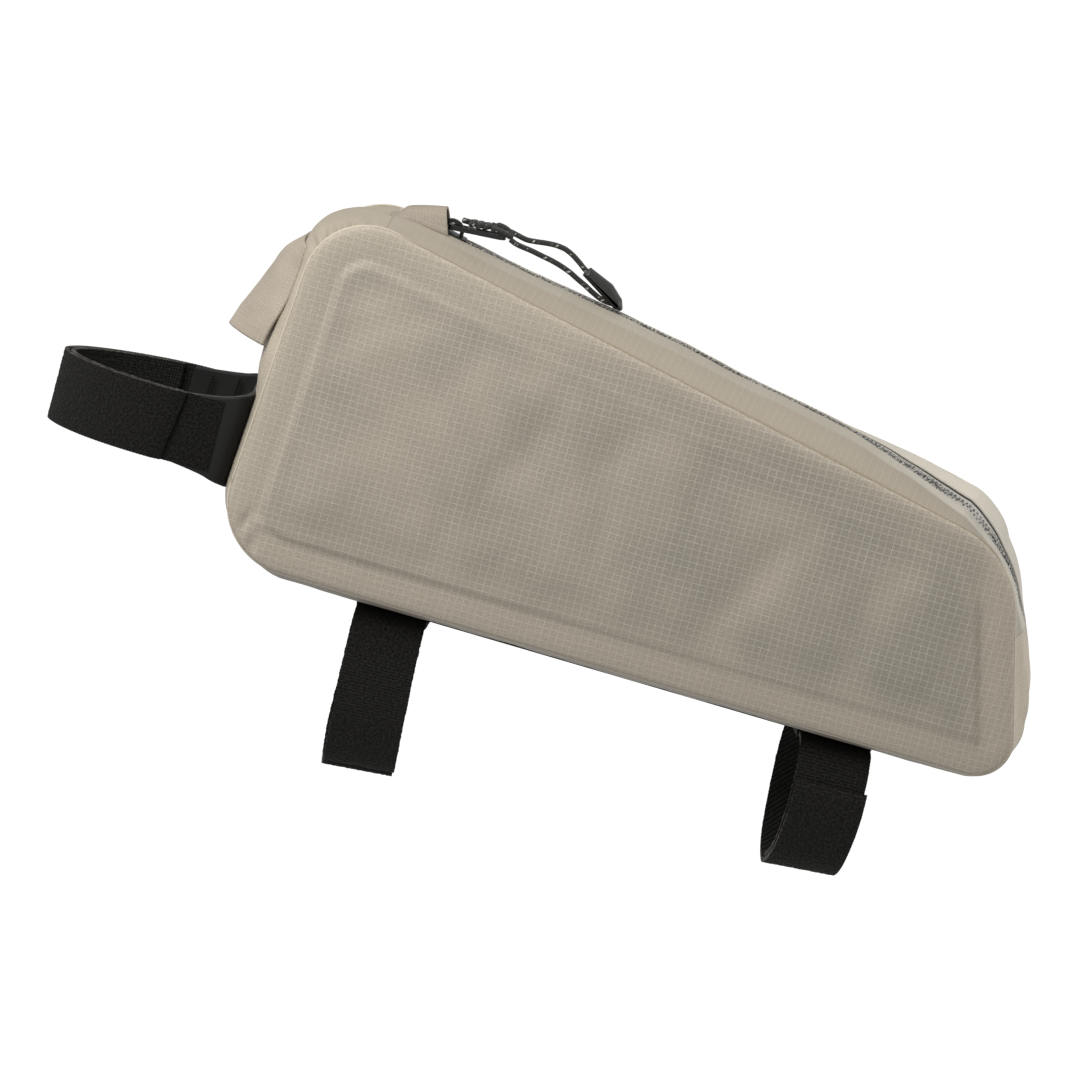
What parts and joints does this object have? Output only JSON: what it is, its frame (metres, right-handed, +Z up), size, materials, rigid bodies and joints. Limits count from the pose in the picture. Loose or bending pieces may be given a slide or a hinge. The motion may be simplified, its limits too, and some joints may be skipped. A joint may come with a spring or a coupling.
{
  "type": "top tube bag",
  "caption": "Tapered bicycle bag of ripstop laminate that sits on the top tube behind the head tube, closed by a zip along its top and held on by hook-and-loop straps.",
  "frame": {"origin": "middle of the seat on the top tube: the underside of the base strip on the middle plane", "axes": "+X from the handlebar end to the saddle end, +Y to the rider's right, +Z up off the top tube"},
  "size_m": [0.2958, 0.0576, 0.1667],
  "materials": {
    "ripstop": "translucent ripstop laminate with a fine light grid, satin",
    "zip_laminate": "smooth laminate strip, satin",
    "zip": "coated zip tape with dark coil teeth",
    "webbing": "hook-and-loop webbing, matte and fuzzy",
    "rubber": "matte moulded rubber",
    "slider_metal": "black painted, satin",
    "cord": "braided cord with light flecks",
    "cord_end": "moulded, faceted, matte"
  },
  "bodies": {
    "root": {"side_panel_left": "ripstop", "side_panel_right": "ripstop", "gusset": "ripstop", "zip_strip_left": "zip_laminate", "zip_strip_right": "zip_laminate", "zip_tape": "zip", "zip_garage": "ripstop", "port_hood": "ripstop", "base_strip": "rubber", "head_strap_saddle": "rubber", "head_strap_near": "webbing", "head_strap_far": "webbing", "front_base_strap": "webbing", "rear_base_strap": "webbing", "zip_slider": "slider_metal", "pull_tab": "slider_metal", "pull_cord_lower": "cord", "pull_cord_upper": "cord", "cord_knot": "cord", "cord_end": "cord_end"}
  },
  "joints": []
}
